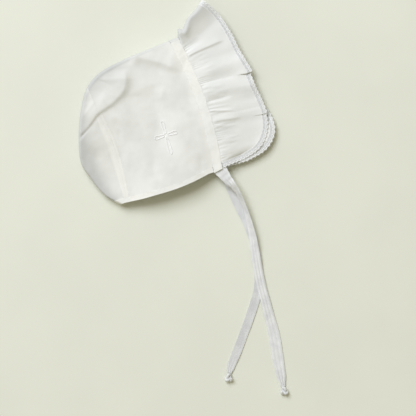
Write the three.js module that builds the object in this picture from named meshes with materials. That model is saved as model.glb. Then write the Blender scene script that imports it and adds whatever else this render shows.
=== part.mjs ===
// A baby's christening bonnet in thin white cotton, lying on its left side as it was put down:
// one half on the surface, the other puffed up over the hollow for the head.
// +X points to the face, +Y to the top of the head, +Z up from the surface. Millimetres.
import * as THREE from "three";
import { mergeVertices } from "three/addons/utils/BufferGeometryUtils.js";

// Driving sizes
const faceHeight = 151; // front edge, neck corner to the fold over the head
const crownDepth = 143; // front seam to the fold at the back of the head
const puffHeight = 28; // the upper side above the surface, at its highest
const frontRise = 15; // the upper side above the surface along the front seam
const neckRise = 18; // the upper side above the surface along the neck edge
const frontBow = 7; // how far the front seam bows forward
const frontLean = 7; // how far its top lies behind its bottom
const neckCurve = 6.6; // how far the neck edge climbs towards the front
const neckBackLift = 1.5; // how far it climbs to its back corner
const neckTuck = 5; // the lower side's neck edge lies this far inside the upper one's
const clothWall = 1.1;
const bandWidth = 10;
const bandDrop = 2.2; // how much lower its back corner is than its front one
const bandWall = 1.5;
const hemWidth = 5.5;
const hemWall = 1.5;
const ruffleWidth = 55; // from the front seam to the lace
const ruffleWall = 1;
const ruffleRise = 9; // the upper layer above the surface, at its outer edge
const ruffleEndRise = 6.8; // the same by the neck, where both layers lie close together
const lowerEndRise = 4; // the lower layer there
const ruffleTopBow = 1.3; // how far its fold bows upwards
const ruffleTopPuff = 6; // how far its first gather stands up beside the seam
const laceWidth = 6.5;
const laceWall = 1;
const scallopPitch = 5.2;
const scallopDepth = 1.3;
const tieLength = 250;
const tieWidth = 9.5;
const tieWall = 1;
const knotLength = 11;
const knotWidth = 10;
const knotHeight = 6;
const crossHeight = 38;
const crossWidth = 26;
const crossWall = 0.8;
const seamGap = 0.5; // between pieces that are sewn together
const layerGap = 0.4; // between a piece and what lies on it

// Where the pieces lie, as shares of the sizes that they follow
const foldShare = 0.45; // height of the fold, of the upper side's height there
const upperRollShare = 0.45; // width of the roll at the fold, of the same height
const lowerRollShare = 0.4;
const frontLeanShare = 0.63; // of frontLean, how far the seam's bottom lies in front of nought
const neckShare = 0.036; // the neck edge below nought at its lowest, of faceHeight
const bandBottomShare = 0.016; // the band's front corner above nought, of faceHeight
const seamTopShare = 0.455; // where the back seam meets the fold, along the fold line
const knotLieShare = 0.42; // height of a knot's middle line, of knotHeight
const crossAt = { back: 0.313, up: 0.361 }; // where the arms meet
const crossUpperShare = 0.42; // of crossHeight
const crossFlareShare = 0.125; // half the width of an arm at its tip, of crossWidth
const crossMiddleShare = 0.055; // the same where the arms meet
const ruffleRollShare = 0.05; // of the seam, over which the ruffle rolls at its fold, by the seam
const ruffleOuterRollShare = 0.018; // the same at the outer edge
const ruffleFoldShare = 0.9; // height of the fold at the outer edge, of ruffleRise
const topPuffAt = { out: 0.1, wide: 0.09 }; // shares of the ruffle's width
const neckCornerShare = 0.2; // how much lower the upper side is at the front corner of the neck

// The fold over the head and down the back: shares of crownDepth and faceHeight
const foldRows = [
  { back: -0.06, up: 1.03 },
  { back: 0.1, up: 1.015 },
  { back: 0.3, up: 0.994 },
  { back: 0.49, up: 0.971 },
  { back: 0.68, up: 0.925 },
  { back: 0.804, up: 0.838 },
  { back: 0.895, up: 0.69 },
  { back: 0.962, up: 0.52 },
  { back: 1.0, up: 0.35 },
  { back: 0.965, up: 0.22 },
  { back: 0.893, up: 0.066 },
  { back: 0.785, up: -0.035 },
];

// The seam between the crown and the back panel, from the fold to the neck
const backSeamRows = [
  { back: 0.772, up: 0.76 },
  { back: 0.752, up: 0.6 },
  { back: 0.72, up: 0.42 },
  { back: 0.722, up: 0.25 },
  { back: 0.738, up: 0.08 },
];

// Creases in the upper side, each along a line of places in the plan. deep is a share of puffHeight,
// below nought for a ridge, and wide a share of crownDepth.
const creaseRows = [
  { line: [[0.49, 0.9], [0.5, 0.81], [0.55, 0.74], [0.67, 0.68], [0.78, 0.635], [0.9, 0.555]], deep: -0.14, wide: 0.05 },
  { line: [[0.44, 0.9], [0.455, 0.8], [0.51, 0.71], [0.64, 0.65], [0.76, 0.6], [0.9, 0.52]], deep: 0.05, wide: 0.035 },
  { line: [[0.93, 0.52], [0.88, 0.437], [0.835, 0.345]], deep: -0.1, wide: 0.045 },
  { line: [[0.97, 0.47], [0.93, 0.4], [0.89, 0.31]], deep: 0.07, wide: 0.035 },
  { line: [[0.4, 0.985], [0.325, 0.944], [0.2, 0.877], [0.06, 0.775]], deep: -0.08, wide: 0.05 },
  { line: [[0.42, 0.93], [0.35, 0.9], [0.23, 0.83], [0.1, 0.73]], deep: 0.06, wide: 0.035 },
  { line: [[0.35, 0.79], [0.4, 0.61], [0.4, 0.5], [0.44, 0.36], [0.51, 0.26], [0.6, 0.16]], deep: 0.07, wide: 0.08 },
];

// The ruffle's outer edge, upper layer and lower one: along is the share of the seam from the fold
// over the head to the neck, out a share of ruffleWidth from the front edge's chord, up of faceHeight.
const upperEdgeRows = [
  { along: 0, out: 0.53, up: 1.21 },
  { along: 0.04, out: 0.68, up: 1.147 },
  { along: 0.09, out: 0.815, up: 1.05 },
  { along: 0.165, out: 0.91, up: 0.925 },
  { along: 0.24, out: 0.955, up: 0.8225 },
  { along: 0.32, out: 1.005, up: 0.735 },
  { along: 0.4, out: 1.055, up: 0.636 },
  { along: 0.5, out: 1.075, up: 0.52 },
  { along: 0.6, out: 1.12, up: 0.42 },
  { along: 0.7, out: 1.135, up: 0.32 },
  { along: 0.8, out: 1.09, up: 0.23 },
  { along: 0.9, out: 0.96, up: 0.15 },
  { along: 0.96, out: 0.79, up: 0.105 },
  { along: 1, out: 0.55, up: 0.079 },
];
const lowerEdgeRows = [
  { along: 0, out: 0.53, up: 1.21 },
  { along: 0.04, out: 0.665, up: 1.135 },
  { along: 0.09, out: 0.785, up: 1.035 },
  { along: 0.165, out: 0.85, up: 0.91 },
  { along: 0.24, out: 0.895, up: 0.81 },
  { along: 0.32, out: 0.94, up: 0.72 },
  { along: 0.4, out: 1.0, up: 0.625 },
  { along: 0.5, out: 1.035, up: 0.51 },
  { along: 0.6, out: 1.085, up: 0.41 },
  { along: 0.7, out: 1.195, up: 0.32 },
  { along: 0.8, out: 1.225, up: 0.225 },
  { along: 0.87, out: 1.15, up: 0.152 },
  { along: 0.94, out: 0.95, up: 0.092 },
  { along: 1, out: 0.6, up: 0.06 },
];

// Folds in the ruffle's upper layer: at is where a fold starts along the seam, drift how far it has
// moved along by the outer edge, rise a share of ruffleRise and wide a share of the seam. They drop
// more steeply on the side towards the neck.
const ruffleFoldRows = [
  { at: 0, drift: 0, rise: 0.9, wide: 0.15 },
  { at: 0.11, drift: -0.05, rise: -0.25, wide: 0.035 },
  { at: 0.165, drift: 0, rise: 0.5, wide: 0.035 },
  { at: 0.24, drift: 0.01, rise: -0.1, wide: 0.03 },
  { at: 0.3, drift: 0.01, rise: 0.15, wide: 0.03 },
  { at: 0.37, drift: 0, rise: -0.2, wide: 0.05 },
  { at: 0.43, drift: 0.01, rise: 0.4, wide: 0.04 },
  { at: 0.53, drift: 0.02, rise: -0.15, wide: 0.025 },
  { at: 0.58, drift: 0.02, rise: 0.15, wide: 0.025 },
  { at: 0.67, drift: 0.005, rise: 0.3, wide: 0.035 },
  { at: 0.74, drift: 0.01, rise: -0.1, wide: 0.02 },
  { at: 0.8, drift: 0.03, rise: 0.16, wide: 0.02 },
  { at: 0.87, drift: 0.02, rise: 0.12, wide: 0.02 },
];
const steepShare = 0.45;
const lowerWaves = 7;
const lowerWaveShare = 0.14; // of ruffleRise
const gatherPitch = 7.5; // the small gathers at the seam
const gatherShare = 0.07; // of ruffleRise

// The ties: shares of tieLength right and down from the bottom of the band, the turn of the ribbon
// about its own line in degrees, how many layers of ribbon it lies on, and its share of tieWidth.
const upperTieRows = [
  { right: 0.006, down: -0.02, turn: 0, under: 0, wide: 1.6 },
  { right: 0.01, down: 0.005, turn: 0, under: 0, wide: 1.5 },
  { right: 0.019, down: 0.03, turn: 2, under: 0.4, wide: 1.25 },
  { right: 0.0285, down: 0.055, turn: 12, under: 1, wide: 1.05 },
  { right: 0.046, down: 0.09, turn: 48, under: 1, wide: 1 },
  { right: 0.0585, down: 0.13, turn: 63, under: 1, wide: 1 },
  { right: 0.067, down: 0.194, turn: 64, under: 1, wide: 1 },
  { right: 0.068, down: 0.264, turn: 52, under: 1, wide: 1 },
  { right: 0.064, down: 0.334, turn: 34, under: 1, wide: 1 },
  { right: 0.055, down: 0.404, turn: 12, under: 1, wide: 1 },
  { right: 0.046, down: 0.484, turn: 0, under: 1, wide: 1 },
  { right: 0.041, down: 0.554, turn: 0, under: 1, wide: 1 },
  { right: 0.039, down: 0.624, turn: 0, under: 1, wide: 1 },
  { right: 0.037, down: 0.694, turn: 0, under: 0.2, wide: 1 },
  { right: 0.033, down: 0.774, turn: 0, under: 0, wide: 1 },
  { right: 0.022, down: 0.884, turn: 0, under: 0, wide: 1 },
  { right: 0.015, down: 0.954, turn: 0, under: 0, wide: 0.9 },
  { right: 0.011, down: 0.998, turn: 0, under: 0, wide: 0.5 },
];
const lowerTieRows = [
  { right: 0.014, down: -0.015, turn: 0, under: 0, wide: 1 },
  { right: 0.021, down: 0.029, turn: 0, under: 0, wide: 1 },
  { right: 0.031, down: 0.099, turn: 0, under: 0, wide: 1 },
  { right: 0.044, down: 0.184, turn: 0, under: 0, wide: 1 },
  { right: 0.057, down: 0.254, turn: 0, under: 0, wide: 1 },
  { right: 0.061, down: 0.334, turn: 0, under: 0, wide: 1 },
  { right: 0.048, down: 0.434, turn: 0, under: 0, wide: 1 },
  { right: 0.018, down: 0.539, turn: 0, under: 0, wide: 1 },
  { right: -0.014, down: 0.609, turn: 0, under: 0, wide: 1 },
  { right: -0.058, down: 0.669, turn: 0, under: 0, wide: 1 },
  { right: -0.1, down: 0.729, turn: 0, under: 0, wide: 1 },
  { right: -0.143, down: 0.791, turn: 0, under: 0, wide: 1 },
  { right: -0.186, down: 0.849, turn: 0, under: 0, wide: 0.9 },
  { right: -0.201, down: 0.876, turn: 0, under: 0, wide: 0.5 },
];

// A knot from the tie to its tip: along is a share of knotLength, wide and aside shares of knotWidth
// and high one of knotHeight. Its loop bulges to one side.
const knotRows = [
  { along: 0, wide: 0, high: 0, aside: 0 },
  { along: 0.04, wide: 0.5, high: 0.5, aside: 0 },
  { along: 0.17, wide: 0.84, high: 0.86, aside: 0.05 },
  { along: 0.34, wide: 1, high: 1, aside: 0.08 },
  { along: 0.5, wide: 0.88, high: 0.9, aside: 0.05 },
  { along: 0.64, wide: 0.86, high: 0.82, aside: -0.02 },
  { along: 0.78, wide: 0.6, high: 0.62, aside: -0.03 },
  { along: 0.9, wide: 0.3, high: 0.42, aside: 0 },
  { along: 1, wide: 0, high: 0, aside: 0.02 },
];

// Finishes
const finishes = {
  cotton: { color: 0xf1f1ec, roughness: 0.92 },
  doubledCotton: { color: 0xf5f4ef, roughness: 0.9 },
  lace: { color: 0xeff1f3, roughness: 0.85 },
  tape: { color: 0xf0f2f3, roughness: 0.88 },
  embroidery: { color: 0xfafafa, roughness: 0.45 },
};

const clamp = (x) => Math.min(1, Math.max(0, x));
const mix = (a, b, k) => a + (b - a) * k;
const ease = (a, b, x) => {
  const k = clamp((x - a) / (b - a));
  return k * k * (3 - 2 * k);
};
const quarterRound = (x) => (x >= 1 ? 1 : Math.sqrt(1 - (1 - Math.max(0, x)) ** 2));

const planPoint = ({ back, up }) => new THREE.Vector2(-back * crownDepth, up * faceHeight);
const foldCurve = new THREE.SplineCurve(foldRows.map(planPoint));
const foldPoints = foldCurve.getSpacedPoints(120);

function distanceToLine(points, x, y) {
  let best = { distance: Infinity, share: 0 };
  for (let i = 0; i + 1 < points.length; i++) {
    const a = points[i];
    const b = points[i + 1];
    const dx = b.x - a.x;
    const dy = b.y - a.y;
    const k = clamp(((x - a.x) * dx + (y - a.y) * dy) / (dx * dx + dy * dy));
    const distance = Math.hypot(x - a.x - k * dx, y - a.y - k * dy);
    if (distance < best.distance) best = { distance, share: (i + k) / (points.length - 1) };
  }
  return best;
}

// Height of the upper side over the surface, before its creases and the roll at the fold
function domeHeight(x, y) {
  const back = -x / crownDepth;
  const up = y / faceHeight;
  const level = mix(frontRise, neckRise, ease(0, 0.3, back));
  const puff = (puffHeight - neckRise) * ease(0.2, 0.65, back) * ease(0.25, 0.8, up);
  const backCorner = 1 - 0.3 * ease(0.6, 0.95, back) * (1 - ease(0, 0.45, up));
  const topCorner = 1 - 0.1 * ease(0.6, 1.05, up);
  const neckCorner = 1 - neckCornerShare * (1 - ease(0, 0.25, back)) * (1 - ease(0, 0.4, up));
  return (level + puff) * backCorner * topCorner * neckCorner;
}

const creases = creaseRows.map(({ line, deep, wide }) => ({
  points: new THREE.SplineCurve(line.map(([back, up]) => planPoint({ back, up }))).getPoints(18),
  deep: deep * puffHeight,
  wide: wide * crownDepth,
}));

function creaseDepth(x, y) {
  let sum = 0;
  for (const { points, deep, wide } of creases) {
    const { distance, share } = distanceToLine(points, x, y);
    sum += deep * Math.exp(-((distance / wide) ** 2)) * Math.sqrt(Math.sin(Math.PI * mix(0.08, 0.92, share)));
  }
  return sum;
}

// Height of the cloth's middle at a place in the plan, on the upper side (1) or the lower one (-1)
function clothHeight(x, y, side, wall) {
  const high = domeHeight(x, y);
  const { distance } = distanceToLine(foldPoints, x, y);
  const fold = high * foldShare;
  if (side < 0) return mix(fold, wall / 2, quarterRound(distance / (high * lowerRollShare)));
  const rolled = quarterRound(distance / (high * upperRollShare));
  return mix(fold, high, rolled) - creaseDepth(x, y) * rolled;
}

const frontTop = foldRows[1].up * faceHeight;
// The front seam, where the ruffle is sewn on
function frontX(y) {
  const k = y / frontTop;
  return frontLean * (frontLeanShare - k) + frontBow * Math.sin(Math.PI * clamp(k));
}

function neckY(x, side) {
  const k = clamp((-x - 0.08 * crownDepth) / (0.36 * crownDepth));
  const fromBack = ease(0, 0.2, x / crownDepth + foldRows.at(-1).back);
  const upper = -neckShare * faceHeight + neckCurve * (1 - k) ** 2 + neckBackLift * (1 - fromBack);
  return side < 0 ? upper + neckTuck * fromBack : upper;
}

// A curve's point where test(point) turns true, as a share of its length
function shareWhere(curve, test) {
  let low = 0;
  let high = 1;
  for (let i = 0; i < 30; i++) {
    const middle = (low + high) / 2;
    if (test(curve.getPointAt(middle))) high = middle;
    else low = middle;
  }
  return (low + high) / 2;
}

// Shares from 0 to 1 that crowd towards 0, where the cloth rolls over the fold
function foldSteps(rollShare, rollCount, restCount) {
  const steps = [];
  for (let i = 0; i <= rollCount; i++) steps.push(rollShare * (1 - Math.cos((Math.PI / 2) * (i / rollCount))));
  for (let i = 1; i <= restCount; i++) steps.push(mix(rollShare, 1, i / restCount));
  return steps;
}

// Both sides of a piece that goes round the fold, from the lower side's edge to the upper one's
function bothSides(upperSteps, lowerSteps = upperSteps) {
  const lower = lowerSteps.slice(1).reverse().map((share) => ({ side: -1, share }));
  const upper = upperSteps.slice(1).map((share) => ({ side: 1, share }));
  return [...lower, { side: 0, share: 0 }, ...upper];
}

// A wall of even thickness about a grid of points, closed all round. Cells that shrink to a line at
// a pole are dropped. A round grid starts at a pole and comes round on itself.
function wallAbout(grid, wall, round = false) {
  const rows = grid.length;
  const columns = grid[0].length;
  const normals = grid.map((row) => row.map(() => new THREE.Vector3()));
  const edgeA = new THREE.Vector3();
  const edgeB = new THREE.Vector3();
  for (let i = 0; i + 1 < rows; i++) {
    for (let j = 0; j + 1 < columns; j++) {
      edgeA.subVectors(grid[i + 1][j + 1], grid[i][j]);
      edgeB.subVectors(grid[i][j + 1], grid[i + 1][j]);
      const across = edgeB.clone().cross(edgeA);
      for (const [a, b] of [[i, j], [i + 1, j], [i, j + 1], [i + 1, j + 1]]) normals[a][b].add(across);
    }
  }
  shareNormals(grid, normals);
  const positions = [];
  for (const sign of [1, -1]) {
    for (let i = 0; i < rows; i++) {
      for (let j = 0; j < columns; j++) {
        const point = grid[i][j].clone().addScaledVector(normals[i][j], (sign * wall) / 2);
        positions.push(point.x, point.y, point.z);
      }
    }
  }
  const at = (sheet, i, j) => sheet * rows * columns + i * columns + j;
  const faces = [];
  const quad = (a, b, c, d) => faces.push([a, b, c], [a, c, d]);
  for (let i = 0; i + 1 < rows; i++) {
    for (let j = 0; j + 1 < columns; j++) {
      quad(at(0, i, j), at(0, i, j + 1), at(0, i + 1, j + 1), at(0, i + 1, j));
      quad(at(1, i, j), at(1, i + 1, j), at(1, i + 1, j + 1), at(1, i, j + 1));
    }
  }
  for (let i = 0; i + 1 < rows && !round; i++) {
    quad(at(0, i, 0), at(0, i + 1, 0), at(1, i + 1, 0), at(1, i, 0));
    quad(at(0, i + 1, columns - 1), at(0, i, columns - 1), at(1, i, columns - 1), at(1, i + 1, columns - 1));
  }
  for (let j = 0; j + 1 < columns; j++) {
    quad(at(0, 0, j + 1), at(0, 0, j), at(1, 0, j), at(1, 0, j + 1));
    quad(at(0, rows - 1, j), at(0, rows - 1, j + 1), at(1, rows - 1, j + 1), at(1, rows - 1, j));
  }
  return closedGeometry(positions, faces);
}

// Points of the grid that fall together, as at a pole, take one normal
function shareNormals(grid, normals) {
  const groups = new Map();
  grid.forEach((row, i) =>
    row.forEach((point, j) => {
      const key = point.toArray().map((v) => v.toFixed(3)).join();
      if (!groups.has(key)) groups.set(key, []);
      groups.get(key).push(normals[i][j]);
    }),
  );
  for (const members of groups.values()) {
    const sum = new THREE.Vector3();
    members.forEach((normal) => sum.add(normal));
    sum.normalize();
    members.forEach((normal) => normal.copy(sum));
  }
}

function closedGeometry(positions, faces) {
  const raw = new THREE.BufferGeometry();
  raw.setAttribute("position", new THREE.Float32BufferAttribute(positions, 3));
  raw.setIndex(faces.flat());
  const merged = mergeVertices(raw, 1e-3);
  const index = merged.index.array;
  const kept = [];
  for (let i = 0; i < index.length; i += 3) {
    const [a, b, c] = [index[i], index[i + 1], index[i + 2]];
    if (a !== b && b !== c && a !== c) kept.push(a, b, c);
  }
  merged.setIndex(kept);
  return merged;
}

const bonnet = new THREE.Group();

function addPiece(name, geometry, finish) {
  geometry.computeVertexNormals();
  const { color, roughness } = finishes[finish];
  const material = new THREE.MeshStandardMaterial({ color, roughness, metalness: 0 });
  const piece = new THREE.Mesh(geometry, material);
  piece.name = name;
  bonnet.add(piece);
  return piece;
}

// Crown: one piece from the lower neck edge over the head to the upper one, between the band and the back seam
const seamTop = foldCurve.getPointAt(seamTopShare);
const backSeam = new THREE.SplineCurve([seamTop, ...backSeamRows.map(planPoint)]);
const crownStart = shareWhere(foldCurve, (p) => p.x < frontX(p.y) - bandWidth - seamGap);

function backSeamPoint(t, side) {
  const neckX = backSeamRows.at(-1).back * -crownDepth;
  const end = new THREE.Vector2(neckX, neckY(neckX, side) + hemWidth + seamGap);
  const last = backSeam.getPoint(1);
  const point = backSeam.getPoint(t);
  return new THREE.Vector2(point.x, point.y + (end.y - last.y) * ease(0.6, 1, t));
}

function crownPlan(u, t, side) {
  const top = foldCurve.getPointAt(mix(crownStart, seamTopShare, u));
  const topFront = foldCurve.getPointAt(crownStart);
  const bottomBack = backSeamPoint(1, side);
  const frontEdge = (k) => {
    const low = neckY(frontX(0) - bandWidth, side) + hemWidth + seamGap;
    const y = mix(topFront.y, low, k);
    return new THREE.Vector2(mix(topFront.x, frontX(y) - bandWidth - seamGap, ease(0, 0.04, k)), y);
  };
  const bottomFront = frontEdge(1);
  const bottomX = mix(bottomFront.x, bottomBack.x, u);
  const bottom = new THREE.Vector2(bottomX, neckY(bottomX, side) + hemWidth + seamGap);
  const straight = (a, b) => a.clone().lerp(b, t);
  const point = straight(top, bottom);
  point.addScaledVector(frontEdge(t).sub(straight(topFront, bottomFront)), 1 - u);
  point.addScaledVector(backSeamPoint(t, side).sub(straight(seamTop, bottomBack)), u);
  return point;
}

// The crown and the back panel are cut into the same steps along the seam that joins them
const seamSteps = foldSteps(0.16, 5, 16);

function crownGrid() {
  const columns = 19;
  return bothSides(seamSteps).map(({ side, share }) => {
    const row = [];
    for (let j = 0; j < columns; j++) {
      const plan = crownPlan(j / (columns - 1), share, side);
      row.push(new THREE.Vector3(plan.x, plan.y, clothHeight(plan.x, plan.y, side, clothWall)));
    }
    return row;
  });
}
const crown = addPiece("crown", wallAbout(crownGrid(), clothWall), "cotton");

// Back panel: a narrow horseshoe between the two back seams, folded down its middle
function backPanelGrid() {
  const foldEnd = shareWhere(foldCurve, (p) => p.x > -0.95 * crownDepth && p.y < neckY(p.x, 1) + hemWidth + seamGap);
  const grid = [];
  for (const t of seamSteps) {
    const fold = foldCurve.getPointAt(mix(seamTopShare, foldEnd, t));
    grid.push(
      bothSides(foldSteps(0.35, 4, 5), foldSteps(0.35, 4, 2)).map(({ side, share }) => {
        const seam = backSeamPoint(t, side);
        seam.x -= seamGap;
        const plan = fold.clone().lerp(seam, t === 0 ? 1 : share);
        return new THREE.Vector3(plan.x, plan.y, clothHeight(plan.x, plan.y, t === 0 ? 1 : side, clothWall));
      }),
    );
  }
  return grid;
}
addPiece("back_panel", wallAbout(backPanelGrid(), clothWall), "cotton");

// Front band: the doubled strip that holds the ruffle's gathers
const bandBottom = bandBottomShare * faceHeight;
function frontBandGrid() {
  const columns = 3;
  return bothSides(foldSteps(0.06, 4, 14), foldSteps(0.06, 4, 10)).map(({ side, share }) => {
    const row = [];
    for (let j = 0; j < columns; j++) {
      const inward = (1 - j / (columns - 1)) * bandWidth;
      const top = foldCurve.getPointAt(shareWhere(foldCurve, (p) => p.x < frontX(p.y) - inward));
      const y = mix(top.y, bandBottom - (bandDrop * inward) / bandWidth, share);
      const x = frontX(y) - inward;
      row.push(new THREE.Vector3(x, y, clothHeight(x, y, side, bandWall)));
    }
    return row;
  });
}
addPiece("front_band", wallAbout(frontBandGrid(), bandWall), "doubledCotton");

// Neck hem: the turned edge along the neck, round the fold at the back
function neckHemGrid() {
  const grid = [];
  for (const { side, share } of bothSides(foldSteps(0.1, 5, 14))) {
    const row = [];
    for (const across of [0, 1]) {
      const rise = across * hemWidth;
      const end = foldCurve.getPointAt(
        shareWhere(foldCurve, (p) => p.x > -0.95 * crownDepth && p.y < neckY(p.x, 1) + rise),
      );
      const x = mix(end.x, frontX(0) - bandWidth - seamGap, share);
      const y = share === 0 ? end.y : neckY(x, side) + rise;
      row.push(new THREE.Vector3(x, y, clothHeight(x, y, side, hemWall)));
    }
    grid.push(row);
  }
  return grid;
}
addPiece("neck_hem", wallAbout(neckHemGrid(), hemWall), "doubledCotton");

// Ruffle: one gathered strip from the lower neck corner over the head to the upper one
const edgeCurves = new Map(
  [[1, upperEdgeRows], [-1, lowerEdgeRows]].map(([side, rows]) => [
    side,
    new THREE.CatmullRomCurve3(
      rows.map(({ along, out, up }) => new THREE.Vector3(out * ruffleWidth, up * faceHeight, along)),
    ),
  ]),
);

// The outer edge's place where the curve's own share of the seam is along
function rufflePlanEdge(along, side) {
  const curve = edgeCurves.get(side);
  let low = 0;
  let high = 1;
  for (let i = 0; i < 24; i++) {
    const middle = (low + high) / 2;
    if (curve.getPoint(middle).z < along) low = middle;
    else high = middle;
  }
  const point = curve.getPoint((low + high) / 2);
  return new THREE.Vector2(point.x, point.y);
}

// Away from the ruffle in the plan, square to its outer edge
function edgeOutward(along, side) {
  const before = rufflePlanEdge(Math.max(0, along - 0.02), side);
  const after = rufflePlanEdge(Math.min(1, along + 0.02), side);
  return new THREE.Vector3(before.y - after.y, after.x - before.x, 0).normalize();
}

const ruffleTop = foldCurve.getPointAt(shareWhere(foldCurve, (p) => p.x < frontX(p.y) + seamGap));
const ruffleBottom = bandBottom + laceWidth + seamGap;

function ruffleHeight(along, out, side) {
  const gather = 0.5 - 0.5 * Math.cos((2 * Math.PI * along * (ruffleTop.y - ruffleBottom)) / gatherPitch);
  const gathered = gatherShare * ruffleRise * gather * (1 - ease(0.1, 0.5, out));
  const rolled = quarterRound(along / mix(ruffleRollShare, ruffleOuterRollShare, ease(0, 0.6, out)));
  const foldHeight = mix(foldShare * frontRise, ruffleFoldShare * ruffleRise, ease(0, 0.6, out));
  if (side < 0) {
    const wave = 0.5 - 0.5 * Math.cos(2 * Math.PI * lowerWaves * along);
    const lifted = mix(wave * lowerWaveShare * ruffleRise, lowerEndRise, ease(0.62, 0.86, along));
    const flat = ruffleWall / 2 + ease(0, 0.4, out) * lifted;
    return mix(foldHeight, flat, rolled);
  }
  let folds = 0;
  for (const { at, drift, rise, wide } of ruffleFoldRows) {
    const past = along - at - drift * out;
    const offset = past / (wide * (past > 0 ? steepShare : 1));
    folds += rise * ruffleRise * Math.exp(-offset * offset);
  }
  const seamY = mix(ruffleTop.y, ruffleBottom, along);
  const edgeRise = mix(ruffleRise, ruffleEndRise, ease(0.5, 0.8, along));
  const level = mix(domeHeight(frontX(seamY), seamY), edgeRise, ease(0, 1, out));
  const high = level + folds * ease(0, 0.45, out) + gathered * ease(0, 0.08, out);
  return mix(foldHeight, high, rolled);
}

function rufflePoint(along, out, side) {
  const y = mix(ruffleTop.y, ruffleBottom, along);
  const plan = new THREE.Vector2(frontX(y) + seamGap, y).lerp(rufflePlanEdge(along, side || 1), out);
  const puff = Math.exp(-(((out - topPuffAt.out) / topPuffAt.wide) ** 2)) * ease(0, 0.05, out);
  const raised = ruffleTopBow * Math.sin(Math.PI * out) + ruffleTopPuff * puff;
  plan.y += raised * (1 - ease(0, 0.12, along));
  return new THREE.Vector3(plan.x, plan.y, ruffleHeight(along, out, side || 1));
}

const ruffleSides = bothSides(foldSteps(ruffleRollShare, 4, 44), foldSteps(ruffleRollShare, 4, 24));
const ruffleOuts = [0, 0.09, 0.2, 0.36, 0.56, 0.78, 1];
const ruffleGrid = ruffleSides.map(({ side, share }) => ruffleOuts.map((out) => rufflePoint(share, out, side)));
addPiece("ruffle", wallAbout(ruffleGrid, ruffleWall), "cotton");

// Lace: a narrow scalloped edging round the ruffle's outer edge and both its short ends
function lacePath() {
  const path = [];
  const endOutward = (side) => {
    const along = rufflePoint(1, 1, side).sub(rufflePoint(1, 0, side));
    return new THREE.Vector3(along.y, -along.x, 0).normalize();
  };
  const addEnd = (outs, side) => {
    for (const out of outs) path.push({ point: rufflePoint(1, out, side), outward: endOutward(side) });
  };
  addEnd(ruffleOuts.slice(1, -1), -1);
  for (const { side, share } of ruffleSides) {
    const point = rufflePoint(share, 1, side);
    const outward = edgeOutward(share, side || 1);
    if (share === 1) outward.add(endOutward(side)).normalize();
    path.push({ point, outward });
  }
  addEnd(ruffleOuts.slice(1, -1).reverse(), 1);
  let length = 0;
  path.forEach((step, i) => {
    if (i > 0) length += step.point.distanceTo(path[i - 1].point);
    step.at = length;
  });
  return path;
}

function laceGrid() {
  const path = lacePath();
  const length = path.at(-1).at;
  const samplesPerScallop = 3;
  const count = Math.round(length / scallopPitch) * samplesPerScallop;
  const grid = [];
  let i = 0;
  for (let n = 0; n <= count; n++) {
    const at = (n / count) * length;
    while (i + 2 < path.length && path[i + 1].at < at) i++;
    const k = clamp((at - path[i].at) / (path[i + 1].at - path[i].at));
    const point = path[i].point.clone().lerp(path[i + 1].point, k);
    const outward = path[i].outward.clone().lerp(path[i + 1].outward, k).normalize();
    const bulge = scallopDepth * Math.abs(Math.sin((Math.PI * n) / samplesPerScallop));
    const width = laceWidth - scallopDepth + bulge;
    grid.push([
      point.clone().addScaledVector(outward, seamGap + width),
      point.clone().addScaledVector(outward, seamGap),
    ]);
  }
  return grid;
}
addPiece("ruffle_lace", wallAbout(laceGrid(), laceWall), "lace");

// Ties: flat ribbons sewn inside the band's two lower corners, each with a knot in its end
function tieFrames(rows, hangHeight, hangLength) {
  const curve = new THREE.CatmullRomCurve3(
    rows.map(({ right, down }) => new THREE.Vector3(right * tieLength, bandBottom - down * tieLength, 0)),
  );
  const stepsPerRow = 3;
  const frames = [];
  for (let n = 0; n <= stepsPerRow * (rows.length - 1); n++) {
    const i = Math.min(rows.length - 2, Math.floor(n / stepsPerRow));
    const k = n / stepsPerRow - i;
    const between = (column, share) => mix(rows[i][column], rows[i + 1][column], share);
    const turn = THREE.MathUtils.degToRad(between("turn", ease(0, 1, k)));
    const under = between("under", ease(0, 1, k)) * (tieWall + layerGap);
    const half = (between("wide", ease(0, 1, k)) * tieWidth) / 2;
    const hang = hangHeight * (1 - ease(0, hangLength, between("down", k)));
    const point = curve.getPoint(n / stepsPerRow / (rows.length - 1));
    const along = curve.getTangent(n / stepsPerRow / (rows.length - 1));
    point.z = (tieWall / 2) * Math.cos(turn) + under + hang + half * Math.sin(turn);
    const across = new THREE.Vector3(-along.y, along.x, 0).applyAxisAngle(along, turn);
    frames.push({ point, along, across, half });
  }
  return frames;
}

function tieGrid(frames) {
  return frames.map(({ point, across, half }) =>
    [-half, half].map((reach) => point.clone().addScaledVector(across, reach)),
  );
}

// A lump of ribbon drawn tight round itself, flat where it lies. Its loop is left (1) or right (-1).
function knotGrid({ point, along }, loopSide) {
  const turns = 16;
  const sideways = new THREE.Vector3(-along.y, along.x, 0);
  return knotRows.map((row) => {
    const ring = [];
    for (let j = 0; j <= turns; j++) {
      const round = 2 * Math.PI * (j / turns);
      const aside = knotWidth * (row.aside * loopSide + (row.wide / 2) * Math.cos(round));
      const place = point.clone().addScaledVector(along, seamGap + knotLength * row.along);
      place.addScaledVector(sideways, aside);
      place.z = knotHeight * Math.max(0, knotLieShare + (row.high / 2) * Math.sin(round));
      ring.push(place);
    }
    return ring;
  });
}

// A closed skin over a grid that comes round on itself, with a pole at each end
function skinOver(grid) {
  const columns = grid[0].length;
  const positions = grid.flat().flatMap((point) => point.toArray());
  const faces = [];
  for (let i = 0; i + 1 < grid.length; i++) {
    for (let j = 0; j + 1 < columns; j++) {
      const a = i * columns + j;
      faces.push([a, a + 1, a + columns + 1], [a, a + columns + 1, a + columns]);
    }
  }
  return closedGeometry(positions, faces);
}

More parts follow.
